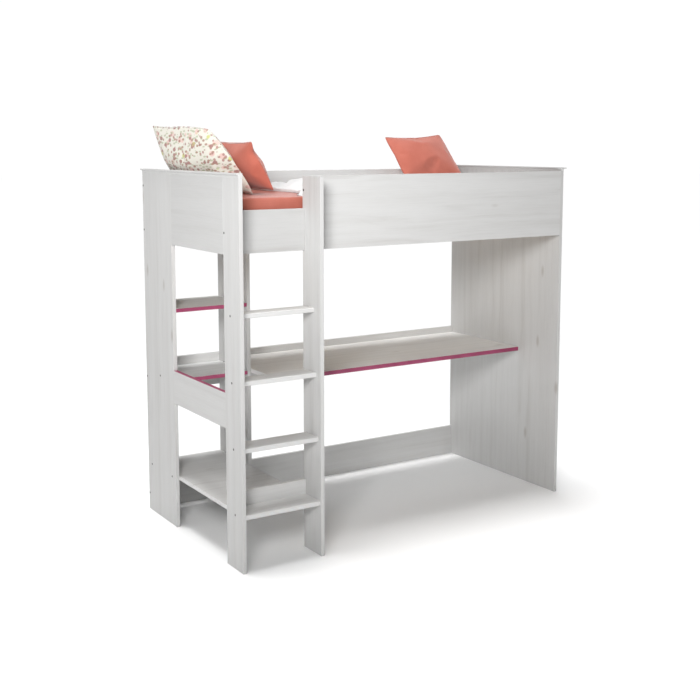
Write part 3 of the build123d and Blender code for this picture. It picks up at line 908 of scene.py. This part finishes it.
def make_fitted_sheet(terracotta):
    """One layer of cloth over the mattress's top and sides, with creases from its corners."""
    low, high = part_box("fitted_sheet")
    bed_low, bed_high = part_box("mattress")
    clearance, fan_reach, skirt_wave = 0.0012, 0.4, 0.0012
    top_normal = 0.7
    corners = [(x, y) for x in (bed_low.x, bed_high.x) for y in (bed_low.y, bed_high.y)]
    piece = remeshed_copy("mattress", "fitted_sheet_cloth")
    shape = bmesh.new()
    shape.from_mesh(piece.data)
    bmesh.ops.delete(shape, geom=[v for v in shape.verts if v.co.z < low.z], context="VERTS")
    shape.normal_update()

    def creases(p):
        near = min(math.hypot(p.x - x, p.y - y) for x, y in corners)
        fan = max(0.0, 1 - near / fan_reach)
        broad = 0.0035 * wrinkle(p, 5.0, (0.5, 1.6, 1), 3.1)
        fine = 0.002 * wrinkle(p, 14, (1, 0.4, 1), 8.4)
        return broad + fine + 0.003 * fan * wrinkle(p, 11, (1, 1, 1), 1.9)

    def gathers(p):
        wave = 1 + math.sin((p.x + p.y) * 60 + 3 * noise.noise(p * 9))
        return skirt_wave * wave * (bed_high.z - p.z) / SKIRT_DROP

    moves = []
    for vertex in shape.verts:
        on_top = vertex.normal.z > top_normal
        lift = clearance + (creases(vertex.co) if on_top else gathers(vertex.co))
        moves.append(vertex.normal * lift)
    for vertex, move in zip(shape.verts, moves):
        vertex.co += move
        vertex.co.z = min(vertex.co.z, high.z + SHEET_LIMIT)
    area = sum(face.calc_area() for face in shape.faces)
    shape.to_mesh(piece.data)
    shape.free()
    finish_soft(piece, "fitted_sheet", terracotta)


# ---------------------------------------------------------------- duvet
DUVET_STEP = 0.017
DUVET_LOFT = 0.012
DUVET_MARGIN = 0.01        # how much smaller than its CAD block the flat duvet is
DUVET_SEAM_RADIUS = 0.0018
DUVET_REST = 0.003         # height of the duvet's underside over the sheet
DUVET_RIM = 0.001          # and of its rim over that


def make_duvet(cotton):
    """A filled quilt, sewn all round and puffed up, with folds, drawn back from the pillows."""
    low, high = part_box("duvet")
    width, length = high.x - low.x - DUVET_MARGIN, high.y - low.y - DUVET_MARGIN
    mesh, rim = envelope("duvet", width, length, DUVET_STEP, DUVET_LOFT)
    piece = piece_from("duvet_quilt", mesh)
    inflate(piece, pressure=1.5, frames=24, bending=0.3, shrink=-0.06, reach=0.03, pin=rim)
    fit_thickness(mesh, (high.z - low.z) * 1.5)
    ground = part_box("fitted_sheet")[1].z + DUVET_REST
    thick = high.z - ground
    lowest = min(v.co.z for v in mesh.vertices)
    middle = (low + high) / 2
    body, puff, puff_reach, fullness = 0.95, 1.1, 0.6, 0.7
    drawn_back, corner_out, corner_reach, draw_reach = 0.12, 0.19, 0.2, 0.25
    hem, hem_out, hem_drop = 0.035, 0.013, 0.045

    def lay(p):
        """Lay one point on the bed. The drawn-back end is fuller, and the front hem sinks in the bed."""
        folds = wrinkle(p, 3.2, (1, 2.2, 0), 5.3) * 0.012 + wrinkle(p, 8.0, (1.3, 0.8, 0), 2.2) * 0.006
        rise = abs(p.z) / max(-lowest, TINY)
        from_end = p.x / width + 0.5
        from_front = p.y + length / 2
        bulk = thick * (body + puff * max(0.0, 1 - from_end / puff_reach) * from_front / length)
        if p.z >= 0:
            z = ground + DUVET_RIM + bulk * min(1.1, rise) ** fullness + folds * min(1.0, rise * 2)
        else:
            z = ground + DUVET_RIM * (1 - rise)
        corner = corner_out * math.exp(-(from_front / corner_reach) ** 2)
        slant = (drawn_back - corner) * max(0.0, 1 - from_end / draw_reach)
        over = max(0.0, 1 - from_front / hem)
        return Vector((middle.x + p.x + slant, middle.y + p.y - hem_out * over, z - hem_drop * over ** 2))

    bend_mesh(mesh, lay)
    finish_soft(piece, "duvet", cotton)
    seam_roll("duvet_seam", piece, rim, DUVET_SEAM_RADIUS, cotton)


def make_bedding():
    """The soft pieces, from the mattress up."""
    terracotta = plain_cotton("terracotta_cotton", TERRACOTTA)
    white = plain_cotton("white_cotton", WHITE, 0.1)
    ticking = plain_cotton("mattress_ticking", TICKING, 0.1)
    make_mattress(ticking)
    # The sheet gets the darker copy of the terracotta: painted shade
    make_fitted_sheet(plain_cotton("sheet_cotton_painted_shade", SHADED_SHEET_TERRACOTTA))
    make_duvet(white)
    make_pillows(terracotta, printed_cotton())


make_camera()
make_floor()
make_lights()
finish_boards()
finish_fittings()
make_bedding()
